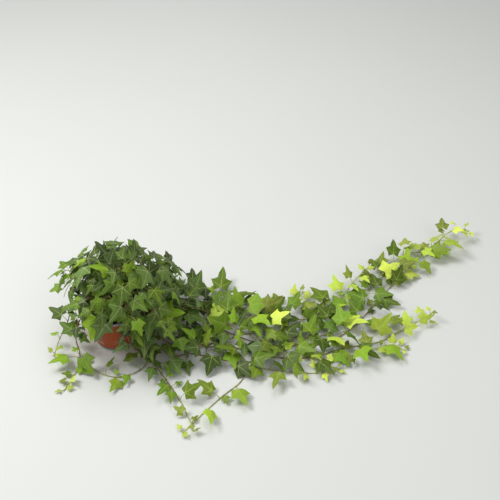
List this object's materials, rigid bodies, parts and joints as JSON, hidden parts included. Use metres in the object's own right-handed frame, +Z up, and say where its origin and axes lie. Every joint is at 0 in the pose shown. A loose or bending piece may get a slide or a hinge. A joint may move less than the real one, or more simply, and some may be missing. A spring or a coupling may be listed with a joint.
{
  "type": "potted ivy",
  "caption": "Small-leaved trailing ivy in a thin plastic pot with a printed wrap and a plain label; long runners hang over the rim and lie along the surface.",
  "frame": {"origin": "centre of the pot's underside", "axes": "+Z up, +X towards the side that most runners trail to, -Y towards the front"},
  "size_m": [0.9243, 0.5939, 0.2354],
  "materials": {
    "pot": "satin",
    "wrap": "semi-gloss",
    "label": "satin",
    "soil": "rough",
    "crown": "satin",
    "runner": "satin"
  },
  "bodies": {
    "root": {"pot": "pot", "pot_label": "label", "pot_wrap": "wrap", "runner_01": "runner", "runner_02": "runner", "runner_03": "runner", "runner_04": "runner", "runner_05": "runner", "runner_06": "runner", "runner_07": "runner", "runner_08": "runner", "runner_09": "runner", "runner_10": "runner", "runner_11": "runner", "runner_12": "runner", "runner_13": "runner", "runner_14": "runner", "shoot_01": "crown", "shoot_02": "crown", "shoot_03": "crown", "shoot_04": "crown", "shoot_05": "crown", "shoot_06": "crown", "shoot_07": "crown", "shoot_08": "crown", "shoot_09": "crown", "shoot_10": "crown", "shoot_11": "crown", "shoot_12": "crown", "shoot_13": "crown", "shoot_14": "crown", "shoot_15": "crown", "shoot_16": "crown", "shoot_17": "crown", "shoot_18": "crown", "shoot_19": "crown", "shoot_20": "crown", "shoot_21": "crown", "shoot_22": "crown", "shoot_23": "crown", "shoot_24": "crown", "shoot_25": "crown", "shoot_26": "crown", "shoot_27": "crown", "shoot_28": "crown", "shoot_29": "crown", "shoot_30": "crown", "soil": "soil"}
  },
  "joints": []
}
